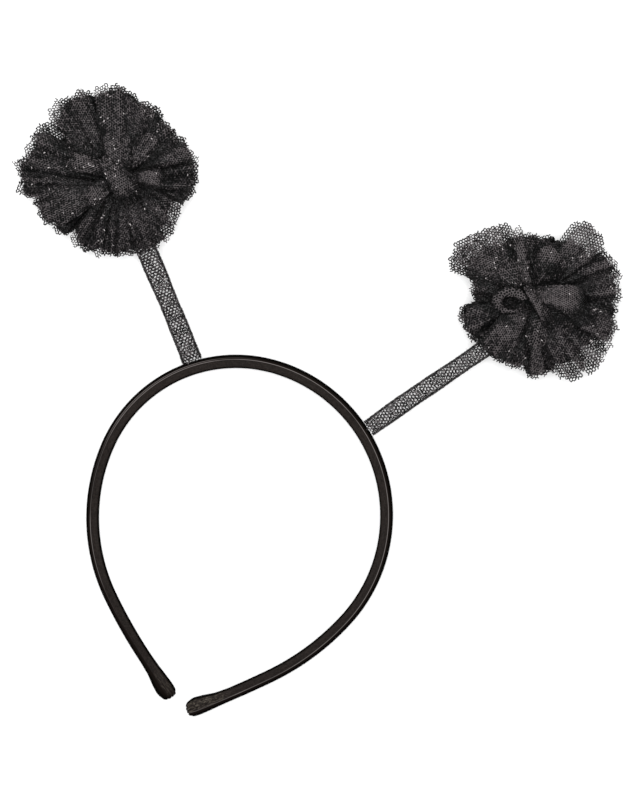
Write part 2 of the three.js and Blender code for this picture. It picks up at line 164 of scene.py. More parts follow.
RIGHT_FRONT = (
    Petal(24, 0.5, 1.04, 0.58, 0.6, 0.45, pleats=1, lined=0.84),
    Petal(190, 0.4, 0.7, 0.58, 0.6, 0.5),
    Petal(220, 0.42, 0.84, 0.6, 0.6, 0.6, pleats=1, lined=0.84),
    Petal(40, 0.5, 1.04, 0.6, 0.62, 0.45, pleats=1, lined=0.74),
    Petal(98, 0.5, 0.7, 0.62, 0.64, 0.4, pleats=1),
    Petal(165, 0.4, 1.0, 0.6, 0.62, 0.4, lined=0.64),
    Petal(58, 0.5, 1.05, 0.64, 0.68, 0.45, pleats=1, lined=0.7),
    Petal(146, 0.76, 0.96, 0.66, 0.7, 0.3, slant=0.06, lined=0.66),
    Petal(332, 0.56, 1.1, 0.56, 0.56, 0.45, pleats=1, lined=0.74),
    Petal(352, 0.5, 1.04, 0.58, 0.58, 0.5, pleats=1, lined=0.8),
    Petal(276, 0.4, 0.86, 0.6, 0.58, 0.4, pleats=1, lined=0.84),
    Petal(293, 0.4, 0.92, 0.62, 0.6, 0.6, pleats=1, lined=0.84),
    Petal(311, 0.44, 1.04, 0.62, 0.6, 0.5, pleats=1, lined=0.82),
    Petal(251, 0.52, 0.82, 0.7, 0.62, 0.7, bulge=0.12, neck=0.5, lined=0.9, tip=0.3),
    Petal(72, 0.5, 0.6, 0.66, 0.8, 0.6, neck=0.6, roll=0.2, tip=0.3),
    Petal(340, 0.46, 0.6, 0.66, 0.66, 0.5, neck=0.5, tip=0.3),
)
RIGHT_HEART = (
    Petal(294, 0.36, 0.6, 0.7, 0.7, 0.6, neck=0.5, tip=0.4),
    Petal(121, 0.26, 0.8, 0.8, 0.7, 0.8, neck=0.5, tip=0.5),
    Petal(150, 0.4, 0.5, 0.74, 0.78, 0.5, neck=0.5, tip=0.4),
    Petal(8, 0.52, 0.7, 0.8, 0.78, 0.75, bulge=0.1, neck=0.5, foot=0.02, roll=1.0, pleats=1, tip=0.6),
    Petal(318, 0.22, 0.42, 0.84, 0.78, 0.9, neck=0.7, foot=-0.14, roll=0.4, tip=0.4),
)

# A rolled loop of net: its middle by angle and share of the radius, its half sizes, the radius of its
# roll and its height as shares.
Loop = namedtuple("Loop", "at out wide tall roll high")
RIGHT_LOOPS = (Loop(211, 0.26, 0.145, 0.11, 0.055, 0.86),)

# Deep places between the petals, where the net's yarn is painted in shade: at and out give the middle, as degrees
# and as a share of the radius, wide and tall the half sizes as shares of it, and turn is in degrees.
Hollow = namedtuple("Hollow", "at out wide tall turn")
LEFT_HOLLOWS = tuple(
    Hollow(*row)
    for row in (
        (191, 0.38, 0.16, 0.12, 15), (40, 0.3, 0.24, 0.06, 40), (168, 0.7, 0.12, 0.05, 165),
        (124, 0.55, 0.22, 0.03, 122), (256, 0.4, 0.12, 0.035, 250), (270, 0.45, 0.2, 0.035, 270),
        (284, 0.46, 0.2, 0.035, 284), (2, 0.38, 0.14, 0.05, 2),
    )
)
RIGHT_HOLLOWS = tuple(
    Hollow(*row)
    for row in (
        (62, 0.38, 0.2, 0.1, -5), (30, 0.62, 0.14, 0.07, -30), (347, 0.56, 0.26, 0.09, 8),
        (285, 0.42, 0.24, 0.04, 285), (132, 0.5, 0.3, 0.04, 126), (312, 0.18, 0.18, 0.04, 318),
        (202, 0.5, 0.16, 0.06, 205), (236, 0.4, 0.16, 0.05, 330),
    )
)

# A pompom: aside is how far its middle stands off the sleeve's line, size and sheen are its radius and
# the brightness of its painted light on the net beside the listed ones, and seed starts its random numbers.
Pompom = namedtuple("Pompom", "node aside size sheen outline front heart hollows loops seed")
POMPOMS = (
    Pompom("pompom_left", 0, 1.0, 0.96, LEFT_OUTLINE, LEFT_FRONT, LEFT_HEART, LEFT_HOLLOWS, (), 9),
    Pompom(
        "pompom_right", 6 * MM, 0.95, 1.16, RIGHT_OUTLINE, RIGHT_FRONT, RIGHT_HEART, RIGHT_HOLLOWS, RIGHT_LOOPS, 5
    ),
)

# Rings of petals that follow the outline: shift turns the ring by a share of a lobe, reach is a share of
# the lobe's, low, high, arch and lined are as in a petal, and flip bends every other one into a trough.
Ring = namedtuple("Ring", "shift reach low high arch lined flip")
OUTLINE_RINGS = (
    Ring(0.0, 0.97, 0.5, 0.52, 0.45, 0.95, False),
    Ring(0.5, 0.82, 0.46, 0.44, 0.45, 0.9, True),
    Ring(-0.06, 0.95, 0.54, 0.58, 0.45, 0.94, False),
)
BACK_RINGS = (
    Ring(0.06, 0.95, 0.42, 0.3, 0.45, 0.9, False),
    Ring(0.55, 0.82, 0.34, 0.14, 0.4, 0.9, True),
    Ring(0.1, 0.8, 0.28, 0.05, 0.4, 0.9, False),
)


def linear(hex_colour):
    """Linear red, green and blue of an sRGB hex value."""
    values = [((hex_colour >> shift) & 255) / 255 for shift in (16, 8, 0)]
    return tuple(v / 12.92 if v <= 0.04045 else ((v + 0.055) / 1.055) ** 2.4 for v in values)


def length(name, description, default):
    return FloatProperty(
        name=name, description=description, default=default, min=0, unit="LENGTH", subtype="DISTANCE"
    )


def colour(name, description, hex_colour):
    return FloatVectorProperty(
        name=name, description=description, default=linear(hex_colour), subtype="COLOR", size=3, min=0, max=1
    )


class BandSizes(bpy.types.PropertyGroup):
    width: length("Width", "Between the middles of the band's two arms", 130 * MM)
    thick: length("Thickness", "From the band's inner to its outer face", 5.5 * MM)
    depth: length("Depth", "From the band's back edge to its front edge", 8 * MM)
    swell: length("Crown swell", "What the satin adds to the thickness at the crown", 0.4 * MM)
    tip: length("Gathered end", "Length of the gathered stretch at each end", 20 * MM)
    flare: length("End flare", "What the gathers add on one side of an end", 1.9 * MM)
    back_flare: length("End back flare", "What the gathers add on the other side", 0.5 * MM)
    pleat: length("Pleat height", "Height of the pleats at the ends", 0.7 * MM)
    flat: colour("Satin", "Colour of the satin where it lies flat", 0x14100E)
    # The satin roll colour is painted shade, where the satin rolls away from the light over both edges.
    roll: colour("Satin roll", "Colour of the satin where it rolls over the edges", 0x080706)
    # The worn fold colour is a painted highlight along the fold's ridge.
    line: colour("Highlighted fold", "Colour of the worn fold along the band", 0x7A7472)
    floats: colour("Satin floats", "Colour of the satin's floats where they catch the light", 0x26201D)
    # The colour of the gathered ends is a painted highlight on the crests of their crumples.
    crest_highlight: colour("Highlighted ends", "Colour of the rubbed satin on the gathered ends", 0x504A42)


class NetSizes(bpy.types.PropertyGroup):
    mesh: length("Mesh", "Between the middles of neighbouring meshes of the net", 1.42 * MM)
    front_mesh: length("Front mesh", "Width of one mesh of the net on the front", 1.22 * MM)
    front_strand: length("Front strand", "Width of a strand of the net on the front", 0.42 * MM)
    # The ridge scales the painted cavity shade and highlight, by a strand's height over the cloth round it.
    ridge: length("Ridge", "Height over the cloth round it at which a strand catches most light", 5 * MM)
    strand: length("Strand", "Width of one strand of the net", 0.54 * MM)
    sleeve_strand: length("Sleeve strand", "Width of a strand of the sleeves' net", 0.5 * MM)
    sleeve_wide: length("Sleeve width", "Across a sleeve, seen from the front", 8.2 * MM)
    sleeve_deep: length("Sleeve depth", "Across a sleeve, from front to back", 5.6 * MM)
    sleeve_mesh: length("Sleeve mesh", "Between the meshes of a sleeve, which are drawn together", 1.45 * MM)
    fold: length("Sleeve fold", "Width of the pressed folds along a sleeve", 1.0 * MM)
    clearance: length("Clearance", "Between pieces that touch", 0.3 * MM)
    radius: length("Pompom radius", "Reach of a pompom's longer petals", 40 * MM)
    depth: length("Pompom depth", "Depth of a pompom from front to back", 44 * MM)
    knot: length("Knot radius", "Radius of the gathered middle of a pompom", 11 * MM)
    knot_depth: length("Knot depth", "Depth of the gathered middle", 31 * MM)
    socket: length("Socket", "How far a sleeve goes into the knot", 6 * MM)
    overlap: FloatProperty(name="Overlap", description="Width of a petal over its lobe's", default=1.02, min=1)
    lining_gap: length("Layer gap", "Between the net on top and the packed layers under it", 0.8 * MM)
    # The four yarns are lit and shaded copies of one nylon: painted shade, plain, painted highlight and painted
    # glint.
    shade_yarn: colour("Shaded yarn", "Colour of the strands deep in the folds", 0x0B0A0A)
    yarn: colour("Yarn", "Colour of most strands", 0x282526)
    bright_yarn: colour("Bright yarn", "Colour of the strands that catch the light", 0x504B4C)
    glint_yarn: colour("Glint", "Colour of the few strands that flash", 0xB8B2B2)
    # The packed net's near black is partly the nylon's black and partly painted shade of the layers deep inside.
    knot_colour: colour("Knot", "Colour of the packed net in the middle", 0x090A0A)


class StageSizes(bpy.types.PropertyGroup):
    photo_scale: FloatProperty(name="Scale", description="Metres of the object a pixel", default=0.44 * MM)
    turn: FloatProperty(
        name="Turn", description="How far the object is turned clockwise", default=math.radians(15), subtype="ANGLE"
    )
    height: length("Camera height", "How high the camera stands over the floor", 1.6)
    floor: colour("Floor", "Colour of the floor", 0xFAFAFA)
    pixels: IntProperty(name="Frame height", description="Height of the frame in pixels", default=800)


def arm_length(arcs, width):
    return sum(arc.radius * width * math.radians(abs(arc.sweep)) for arc in arcs)


def arm_point(arcs, side, width, distance):
    """Place and outward direction on one arm of the band, at a distance from the crown."""
    x = y = heading = 0.0
    left = distance
    for arc in arcs:
        radius = arc.radius * width
        turn = left / radius if arc is arcs[-1] else min(left / radius, math.radians(arc.sweep))
        after = heading + turn
        x += radius * (math.sin(after) - math.sin(heading))
        y -= radius * (math.cos(heading) - math.cos(after))
        heading = after
        left -= turn * radius
        if left <= 1e-9:
            break
    return np.array([side * x, y]), np.array([side * math.sin(heading), math.cos(heading)])


def crown_place(band):
    """Where the band's middle line crosses its crown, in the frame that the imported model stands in."""
    low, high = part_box("headband")
    left = min(
        arm_point(LEFT_ARCS, -1, band.width, s)[0][0]
        for s in np.linspace(0, arm_length(LEFT_ARCS, band.width), 400)
    )
    return np.array([low[0] - left + band.thick * 0.52, high[1] - (band.thick + band.swell) / 2])


def smooth_loop(points, count):
    """A closed curve through points, as count points at even steps."""
    p = np.asarray(points, float)
    n = len(p)
    fine = []
    for i in range(n):
        a, b, c, d = p[i - 1], p[i], p[(i + 1) % n], p[(i + 2) % n]
        for t in np.linspace(0, 1, 12, endpoint=False):
            fine.append(
                0.5 * (2 * b + (c - a) * t + (2 * a - 5 * b + 4 * c - d) * t**2 + (3 * b - a - 3 * c + d) * t**3)
            )
    fine = np.array(fine + [fine[0]])
    along = np.concatenate([[0], np.cumsum(np.linalg.norm(np.diff(fine, axis=0), axis=1))])
    at = np.linspace(0, along[-1], count, endpoint=False)
    return np.column_stack([np.interp(at, along, fine[:, k]) for k in range(2)])


def tip_value(column, back):
    rows = [getattr(row, column) for row in TIP_ROWS]
    return float(np.interp(back, [row.back for row in TIP_ROWS], rows))


def mesh_piece(name, points, faces, smooth=True, uv=None, slots=None):
    """An object at the origin from arrays of points and of faces with equal numbers of corners."""
    points = np.ascontiguousarray(points, np.float32)
    faces = np.ascontiguousarray(faces, np.int32)
    corners = faces.shape[1]
    mesh = bpy.data.meshes.new(name)
    mesh.vertices.add(len(points))
    mesh.vertices.foreach_set("co", points.ravel())
    mesh.loops.add(faces.size)
    mesh.loops.foreach_set("vertex_index", faces.ravel())
    mesh.polygons.add(len(faces))
    mesh.polygons.foreach_set("loop_start", np.arange(0, faces.size, corners, dtype=np.int32))
    mesh.polygons.foreach_set("use_smooth", np.full(len(faces), smooth))
    if slots is not None:
        mesh.polygons.foreach_set("material_index", np.ascontiguousarray(slots, np.int32))
    mesh.update(calc_edges=True)
    if uv is not None:
        layer = mesh.uv_layers.new(name="Cloth")
        layer.uv.foreach_set("vector", np.ascontiguousarray(uv, np.float32)[faces.ravel()].ravel())
    mesh.validate()
    piece = bpy.data.objects.new(name, mesh)
    bpy.context.scene.collection.objects.link(piece)
    return piece


def add_node(tree, kind, links=(), **settings):
    """One node with its settings. Links are (input's name or number, source node, source output); an
    input's plain value is given as a setting by the input's name with _ for each space."""
    node = tree.nodes.new(kind)
    names = {socket.name.replace(" ", "_") for socket in node.inputs}
    for key in settings.keys() - names:
        setattr(node, key, settings[key])
    sockets = {socket.name: socket for socket in node.inputs if socket.enabled}
    for key in settings.keys() & names:
        sockets[key.replace("_", " ")].default_value = settings[key]
    for name, source, output in links:
        made = [socket for socket in source.outputs if socket.enabled and socket.name == output]
        tree.links.new(made[0], node.inputs[name] if isinstance(name, int) else sockets[name])
    return node


def new_material(name):
    material = bpy.data.materials.new(name)
    material.use_nodes = True
    tree = material.node_tree
    tree.nodes.clear()
    return material, tree


def mapped(tree, source, low, high, least=0.0, most=1.0):
    """A range of values turned into another. The source and the result are each a node and its output."""
    ranges = {"From_Min": low, "From_Max": high, "To_Min": least, "To_Max": most}
    return add_node(tree, "ShaderNodeMapRange", [("Value", *source)], **ranges), "Result"


def noise(tree, place, scale, detail, **settings):
    """Noise through the piece at one scale, or at two scales along and round its own map in metres."""
    output = "Object"
    if isinstance(scale, tuple):
        place = add_node(tree, "ShaderNodeMapping", [("Vector", place, "UV")], Scale=(*scale, 1))
        output, scale = "Vector", 1.0
    links = [("Vector", place, output)]
    return add_node(tree, "ShaderNodeTexNoise", links, Scale=scale, Detail=detail, **settings), "Fac"


def two_tone(tree, factor, colour_value, dark, bright):
    """A colour that goes with a factor from a darker to a brighter share of it."""
    ends = {key: (*[c * share for c in colour_value], 1) for key, share in (("A", dark), ("B", bright))}
    return add_node(tree, "ShaderNodeMix", [("Factor", *factor)], data_type="RGBA", **ends), "Result"


def finish_material(tree, links=(), **settings):
    """The shader that ends a material, and its output."""
    surface = add_node(tree, "ShaderNodeBsdfPrincipled", links, **settings)
    add_node(tree, "ShaderNodeOutputMaterial", [("Surface", surface, "BSDF")])


def satin_material(band, fold, faces, ends):
    """Polyester satin, woven with long floats, drawn tight and glued: brownish black where it lies flat
    on the front, with painted shade, a deeper black, where it rolls over both edges, and fine cross
    creases. The pressed fold along the band carries a painted highlight, a thin grey line that fades in
    places and doubles on the left shoulder. The crests of the gathered ends carry a painted highlight.
    Fold is the fold's place round the band in metres, faces the places
    where the flat front begins and ends, and ends the places of the two ends along the band."""
    material, tree = new_material("polyester_satin_woven")
    place = add_node(tree, "ShaderNodeTexCoord")
    around = add_node(tree, "ShaderNodeSeparateXYZ", [("Vector", place, "UV")])
    # Creases across the band, about 9 mm apart.
    creases = noise(tree, place, (110, 420), 3.0)
    # Floats of the weave are about 0.3 mm wide; drawn at 0.5 mm, the least that the render shows.
    threads = noise(tree, place, (330, 2000), 1.0)
    # Patches of tint, and of where the painted highlight on the fold fades, about 25 mm long.
    patches = noise(tree, place, 40.0, 2.0)
    # A grain about 0.7 mm wide, where single floats catch the light.
    grain = noise(tree, place, 1500.0, 1.0)
    # Crests of the crumpled ends, which get a painted highlight: streaks about 0.6 mm apart and 2 mm long.
    crumples = noise(tree, place, (500, 1700), 3.0, Distortion=1.0)

    def times(first, second):
        """The product of two factors, each a node and its output."""
        return add_node(tree, "ShaderNodeMath", [(0, *first), (1, *second)], operation="MULTIPLY"), "Value"

    def band_of(start, end, soft, axis="Y"):
        """1 between two places round or along the band, 0 outside, with soft edges."""
        edges = ((start - soft, start + soft), (end + soft, end - soft))
        return times(*[mapped(tree, (around, axis), *edge) for edge in edges])

    def mixed(factor, under, over):
        """Over laid on under by a factor; each is a node and its output, or a colour."""
        parts = {"A": under, "B": over}
        links = [(key, *part) for key, part in parts.items() if isinstance(part, tuple)]
        plain = {key: (*part, 1) for key, part in parts.items() if not isinstance(part, tuple)}
        return add_node(tree, "ShaderNodeMix", [("Factor", *factor), *links], data_type="RGBA", **plain), "Result"

    # The last millimetre of both ends is drawn in and gets the painted shade of the rolls.
    flat = times(band_of(*faces, 0.35 * MM), band_of(ends[0] + 0.8 * MM, ends[1] - 0.8 * MM, 0.5 * MM, "X"))
    outer = band_of(faces[0] - 1.5 * MM, faces[0], 0.4 * MM)
    tint = two_tone(tree, patches, band.flat, 0.6, 1.5)
    lit = mapped(tree, grain, 0.35, 0.7, 0.0, 0.8)
    # Painted shade: the rolls take the darker roll colour, but for a strip beside the fold that keeps the tint.
    shade = mixed(flat, mixed(outer, band.roll, tint), mixed(lit, tint, band.floats))
    highlight_fade = mapped(tree, patches, 0.36, 0.56, 0.3, 0.9)
    # The painted highlight along the fold ends 60 mm before the left end, and a second painted highlight line runs
    # beside it on the left shoulder.
    for middle, half, start, end, soft in (
        (fold, 0.16 * MM, ends[0] + 60 * MM, 1, 25 * MM),
        (fold - 0.9 * MM, 0.1 * MM, -0.1, -0.02, 15 * MM),
    ):
        line = times(band_of(middle - half, middle + half, 0.14 * MM), highlight_fade)
        shade = mixed(times(line, band_of(start, end, soft, "X")), shade, band.line)
    # Painted highlight on the crests of both gathered ends, fainter on the left one.
    for start, end, most in (
        (ends[0] - 5 * MM, ends[0] + 12 * MM, 0.35),
        (ends[1] - 18 * MM, ends[1] + 5 * MM, 1.0),
    ):
        highlit = times(band_of(start, end, 4 * MM, "X"), mapped(tree, crumples, 0.5, 0.66, 0.0, most))
        shade = mixed(times(highlit, flat), shade, band.crest_highlight)
    crease = add_node(tree, "ShaderNodeBump", [("Height", *creases)], Strength=0.5, Distance=0.0004)
    links = [("Height", *threads), ("Normal", crease, "Normal")]
    weave = add_node(tree, "ShaderNodeBump", links, Strength=0.3, Distance=0.0001)
    rough = mapped(tree, threads, 0.3, 0.7, 0.5, 0.75)
    # Rolled over the edges the floats turn away from the light and lose their sheen.
    sheen = mapped(tree, flat, 0.0, 1.0, 0.0, 0.12)
    links = [("Base Color", *shade), ("Roughness", *rough), ("Normal", weave, "Normal")]
    finish_material(tree, [*links, ("Specular IOR Level", *sheen)], IOR=1.35)
    return material


def yarn_material(name, colour_value):
    """Nylon monofilament, extruded and knotted into net: dark and half glossy. Its lighter copies are
    a painted highlight where a strand turns to the light, and its darkest is painted shade. The meshes
    are modelled, so the strand itself is even."""
    material, tree = new_material(name)
    finish_material(tree, Base_Color=(*colour_value, 1), Roughness=0.4, IOR=1.53, Specular_IOR_Level=0.12)
    return material


def knot_material(colour_value):
    """Nylon net packed in many layers: a dull black, partly the nylon's own and partly painted shade of the layers
    deep inside, with a fine grain of strand ends.
    """
    material, tree = new_material("nylon_net_packed")
    # Strand ends about 1 mm apart.
    grain = noise(tree, add_node(tree, "ShaderNodeTexCoord"), 900.0, 2.0)
    bump = add_node(tree, "ShaderNodeBump", [("Height", *grain)], Strength=0.6, Distance=0.0005)
    links = [("Base Color", *two_tone(tree, grain, colour_value, 0.5, 1.8)), ("Normal", bump, "Normal")]
    finish_material(tree, links, Roughness=0.8, Specular_IOR_Level=0.1)
    return material


def net_materials(net):
    """The shades of yarn, lit and shaded copies of one nylon that paint light and shade, made once and shared by
    every net piece.
    """
    shades = {
        "nylon_yarn_shade": net.shade_yarn,
        "nylon_yarn": net.yarn,
        "nylon_yarn_bright": net.bright_yarn,
        "nylon_yarn_glint": net.glint_yarn,
    }
    return [bpy.data.materials.get(name) or yarn_material(name, shade) for name, shade in shades.items()]


def grid_faces(rows, columns):
    """The four-cornered faces of a grid of points, row by row."""
    corner = (np.arange(rows - 1)[:, None] * columns + np.arange(columns - 1)).ravel()
    return np.column_stack([corner, corner + 1, corner + columns + 1, corner + columns])


def unit(vectors):
    return vectors / np.maximum(np.linalg.norm(vectors, axis=1, keepdims=True), 1e-12)


def strands(start, end, normal_start, normal_end, width, tilt):
    """Flat ribbons from start to end, tilted about their own direction."""
    along = unit(end - start)
    corners = []
    for place, normal, outwards in ((start, normal_start, -1), (end, normal_end, 1)):
        side = unit(np.cross(normal, along))
        side = unit(side * np.cos(tilt)[:, None] + normal * np.sin(tilt)[:, None])
        tip = place + along * (outwards * 0.3 * width)
        corners += [tip - side * width / 2, tip + side * width / 2]
    a, b, d, c = corners
    return np.stack([a, b, c, d], axis=1)


def net_patch(surface, inside, x_range, y_range, weave, rng, grain):
    """Ribbons of a six-sided net laid on a surface. Surface maps x and y of the flat net to places, inside
    says which of them are cloth, weave is the mesh and the strand's width, and grain is the net's turn."""
    across, side = weave[0], weave[0] / math.sqrt(3)
    pull = rng.uniform(0.84, 1.1, 2)
    reach = math.hypot(np.ptp(x_range), np.ptp(y_range)) / 2 * 1.25
    count = int(reach / (across * 0.85 * 0.84)) + 2
    i, j = np.meshgrid(np.arange(-2 * count, 2 * count), np.arange(-count, count), indexing="ij")
    corner = np.stack([i * across + j * across / 2, j * across * math.sqrt(3) / 2], axis=-1)
    turn = np.array([[math.cos(grain), -math.sin(grain)], [math.sin(grain), math.cos(grain)]])
    middle = np.array([np.mean(x_range), np.mean(y_range)])
    low = (corner + [0, -side / 2] + rng.normal(0, 0.07 * across, corner.shape)) * pull @ turn.T + middle
    high = (corner + [0, side / 2] + rng.normal(0, 0.07 * across, corner.shape)) * pull @ turn.T + middle
    first = np.concatenate([high.reshape(-1, 2), high[:, :-1].reshape(-1, 2), high[1:, :-1].reshape(-1, 2)])
    second = np.concatenate([low.reshape(-1, 2), low[:, 1:].reshape(-1, 2), low[:-1, 1:].reshape(-1, 2)])
    used = inside(*first.T) & inside(*second.T)
    first, second = first[used], second[used]
    small = 0.05 * MM
    places, normals = [], []
    for x, y in (first.T, second.T):
        here = surface(x, y)
        places.append(here)
        normals.append(unit(np.cross(surface(x + small, y) - here, surface(x, y + small) - here)))
    # How far each strand faces up, which sets its painted light.
    facing = np.clip((np.abs(normals[0][:, 2]) - 0.35) / 0.5, 0, 1)
    return strands(*places, *normals, weave[1], rng.normal(0, 0.4, len(first))), facing, first[:, 0]


def net_piece(name, ribbons, light, net, rng):
    """One object from ribbons, with yarn painted brighter where light, from 0 to 1, is high, and a few painted
    glints.
    """
    quads = np.concatenate(ribbons)
    points = quads.reshape(-1, 3)
    faces = np.arange(len(points)).reshape(-1, 4)
    luck = light + rng.normal(0, 0.27, len(faces))
    shade = (luck > 0.3).astype(int) + (luck > 0.66)
    shade[(rng.random(len(faces)) < 0.005) & (light > 0.15)] = 3
    piece = mesh_piece(name, points, faces, smooth=False, slots=shade)
    for material in net_materials(net):
        piece.data.materials.append(material)
    area = float(np.linalg.norm(np.cross(quads[:, 1] - quads[:, 0], quads[:, 3] - quads[:, 0]), axis=1).sum())
    return piece, area


def petal_form(petal, centre, radius, depth, rng):
    """The surface of a petal, the test for what is cloth on its flat net, and the half of its width."""
    foot, reach = petal.foot * radius, petal.reach * radius
    half_edge = petal.wide * radius / 2
    heading = math.radians(petal.at)
    out = np.array([math.cos(heading), math.sin(heading), 0])
    aside = np.array([-math.sin(heading), math.cos(heading), 0])
    phases = rng.uniform(0, 2 * math.pi, 6)
    twist = 0.07 * rng.normal()

    def along(y):
        return np.clip((y - foot) / (reach - foot), 0, 1.2)

    def surface(x, y, sink=0.0):
        t = along(y)
        half = half_edge * (petal.neck + (1 - petal.neck) * t**0.8)
        share = x / half_edge
        bend = petal.arch * math.pi / 2 * (1 - 0.3 * t)
        round_radius = half / np.abs(bend)
        across = round_radius * np.sin(share * np.abs(bend))
        rise = np.sign(bend) * round_radius * (np.cos(share * bend) - np.cos(bend))
        pleat = 0.0
        if petal.pleats:
            pleat = 1.0 * MM * np.sin(math.pi * (petal.pleats + 0.5) * share + phases[0]) * np.sqrt(t)
        gather = 0.4 * MM * np.sin(8 * share + phases[1]) * np.clip(1 - 1.4 * t, 0, 1)
        ripple = 0.35 * MM * np.sin(x / (2.9 * MM) + 1.8 * np.sin(y / (7 * MM) + phases[2])) * t
        edge = 1.6 * MM * np.sin(2.6 * math.pi * share + phases[4]) * np.clip(t - 0.5, 0, 1)
        middle = petal.low - 0.5 + (petal.high - petal.low) * t + petal.bulge * np.sin(math.pi * np.clip(t, 0, 1))
        curl = petal.roll * 9 * MM * np.clip(t - 0.62, 0, 1) ** 2 / 0.144
        up = middle * depth + rise + pleat + gather + ripple + edge - curl - sink
        place = centre + np.outer(y - 0.25 * curl, out) + np.outer(across + twist * y * t, aside)
        place[:, 2] += up
        floor = 0.4 * MM
        place[:, 2] = np.where(place[:, 2] < floor, floor + 0.02 * (place[:, 2] - floor), place[:, 2])
        return place

    def inside(x, y):
        share = x / half_edge
        ragged = 0.022 * np.sin(3.7 * share + phases[3]) + 0.014 * np.sin(9 * share + phases[2])
        ragged += 0.008 * np.sin(19 * share + phases[5])
        limit = reach * (1 + petal.slant * share - petal.tip * np.abs(share) ** 3 + ragged)
        return (np.abs(share) <= 1) & (y >= foot) & (y <= limit)

    return surface, inside, half_edge


def petal_parts(petal, centre, radius, net, weave, rng):
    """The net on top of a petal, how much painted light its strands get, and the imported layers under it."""
    surface, inside, half_edge = petal_form(petal, centre, radius, net.depth, rng)
    foot, reach = petal.foot * radius, petal.reach * radius
    grain = rng.uniform(-0.6, 0.6)
    spans = (-half_edge, half_edge), (foot, reach * 1.06)
    ribbons, facing, x = net_patch(surface, inside, *spans, weave, rng, grain)
    # Painted light: strands that face up get more, and the sides of an arched petal get painted shade.
    light = facing * (1 - min(1, 1.1 * abs(petal.arch)) * np.abs(x / half_edge) ** 4)
    columns, rows = 22, 18
    share, t = np.meshgrid(np.linspace(-0.96, 0.96, columns), np.linspace(0, petal.lined, rows))
    edge = 1 - petal.tip * np.abs(share) ** 3 + petal.slant * share
    y = foot + (reach * edge - foot) * t
    points = surface((share * half_edge).ravel(), y.ravel(), net.lining_gap)
    return ribbons, light, points, grid_faces(rows, columns)


def loop_net(loop, centre, radius, net, weave, rng):
    """The net of a rolled loop."""
    at = math.radians(loop.at)
    wide, tall, roll = loop.wide * radius, loop.tall * radius, loop.roll * radius
    out = loop.out * radius
    middle = centre + [out * math.cos(at), out * math.sin(at), (loop.high - 0.5) * net.depth]
    c, s = math.cos(math.radians(15)), math.sin(math.radians(15))
    trip = math.pi * (wide + tall)

    def surface(x, y):
        turn, lift = x / trip * 2 * math.pi, y / roll
        grow = 1 + 0.12 * np.sin(2 * turn + 1) + 0.28 * np.sin(turn - 0.4)
        u = (wide + roll * grow * np.cos(lift)) * np.cos(turn)
        v = (tall + roll * grow * np.cos(lift)) * np.sin(turn)
        up = roll * 1.5 * np.sin(lift) + 0.8 * MM * np.sin(turn + 0.6)
        return middle + np.column_stack([u * c - v * s, u * s + v * c, up])

    def inside(x, y):
        return (x >= span[0][0]) & (x <= span[0][1]) & (y >= span[1][0]) & (y <= span[1][1])

    span = (0.03 * trip, 0.81 * trip), (-0.4 * roll, 3.6 * roll)
    ribbons, facing, _ = net_patch(surface, inside, *span, weave, rng, 0.3)
    columns, rows = 40, 10
    x, y = np.meshgrid(np.linspace(*span[0], columns), np.linspace(*span[1], rows))
    points = surface(x.ravel(), y.ravel()) - [0, 0, 0.5 * net.lining_gap]
    return ribbons, facing, points, grid_faces(rows, columns)


def relief(ribbons, centre, radius, cell=1.4 * MM):
    """How far each place lies over the blurred height of the cloth's top round it."""
    flat = ribbons.mean(axis=1)
    count = int(2.8 * radius / cell)
    cells = tuple(((flat[:, :2] - centre[:2]) / cell + count / 2).astype(int).clip(0, count - 1).T)
    top = np.zeros((count, count))
    np.maximum.at(top, cells, flat[:, 2])
    known = (top > 0).astype(float)
    for axis in (0, 1) * 9:
        top, known = (grid + np.roll(grid, 1, axis) + np.roll(grid, -1, axis) for grid in (top, known))
    return flat[:, 2] - (top / np.maximum(known, 1e-9))[cells]


def shaded(ribbons, centre, radius, hollows):
    """How much painted light the hollows leave to each strand, from 0 to 1: their painted shade."""
    left = np.ones(len(ribbons))
    flat = ribbons.mean(axis=1)[:, :2] - centre[:2]
    for hollow in hollows:
        at, turn = math.radians(hollow.at), math.radians(hollow.turn)
        away = flat - hollow.out * radius * np.array([math.cos(at), math.sin(at)])
        u = (away @ [math.cos(turn), math.sin(turn)]) / (hollow.wide * radius)
        v = (away @ [-math.sin(turn), math.cos(turn)]) / (hollow.tall * radius)
        left *= np.clip((np.hypot(u, v) - 0.35) / 1.0, 0.1, 1)
    return left


def ring_petals(outline, ring, overlap, rng):
    """Petals of one ring, one for each lobe of the outline."""
    petals = []
    before = outline[-1].up_to - 360
    for k, lobe in enumerate(outline):
        width = lobe.up_to - before
        after = outline[(k + 1) % len(outline)]
        reach = min(lobe.reach, after.reach) if ring.shift > 0.25 else lobe.reach
        opened = lobe.open or (ring.shift > 0.25 and after.open)
        petals.append(
            Petal(
                at=before + width * (0.5 + ring.shift) + rng.normal(0, 1.5) * (ring.shift != 0),
                wide=2 * math.tan(math.radians(width) / 2) * lobe.reach * overlap,
                reach=reach * ring.reach * (0.78 if opened and ring.shift else 1),
                low=ring.low,
                high=ring.high + 0.03 * rng.normal(),
                arch=ring.arch * (-0.6 if ring.flip and k % 2 else 1) * (1 + 0.15 * rng.normal()),
                bulge=0,
                roll=0.15 * rng.random(),
                slant=lobe.slant * (ring.shift == 0),
                pleats=int(rng.integers(0, 2)),
                lined=ring.lined * (0.76 if opened else 1),
            )
        )
        before = lobe.up_to
    return petals


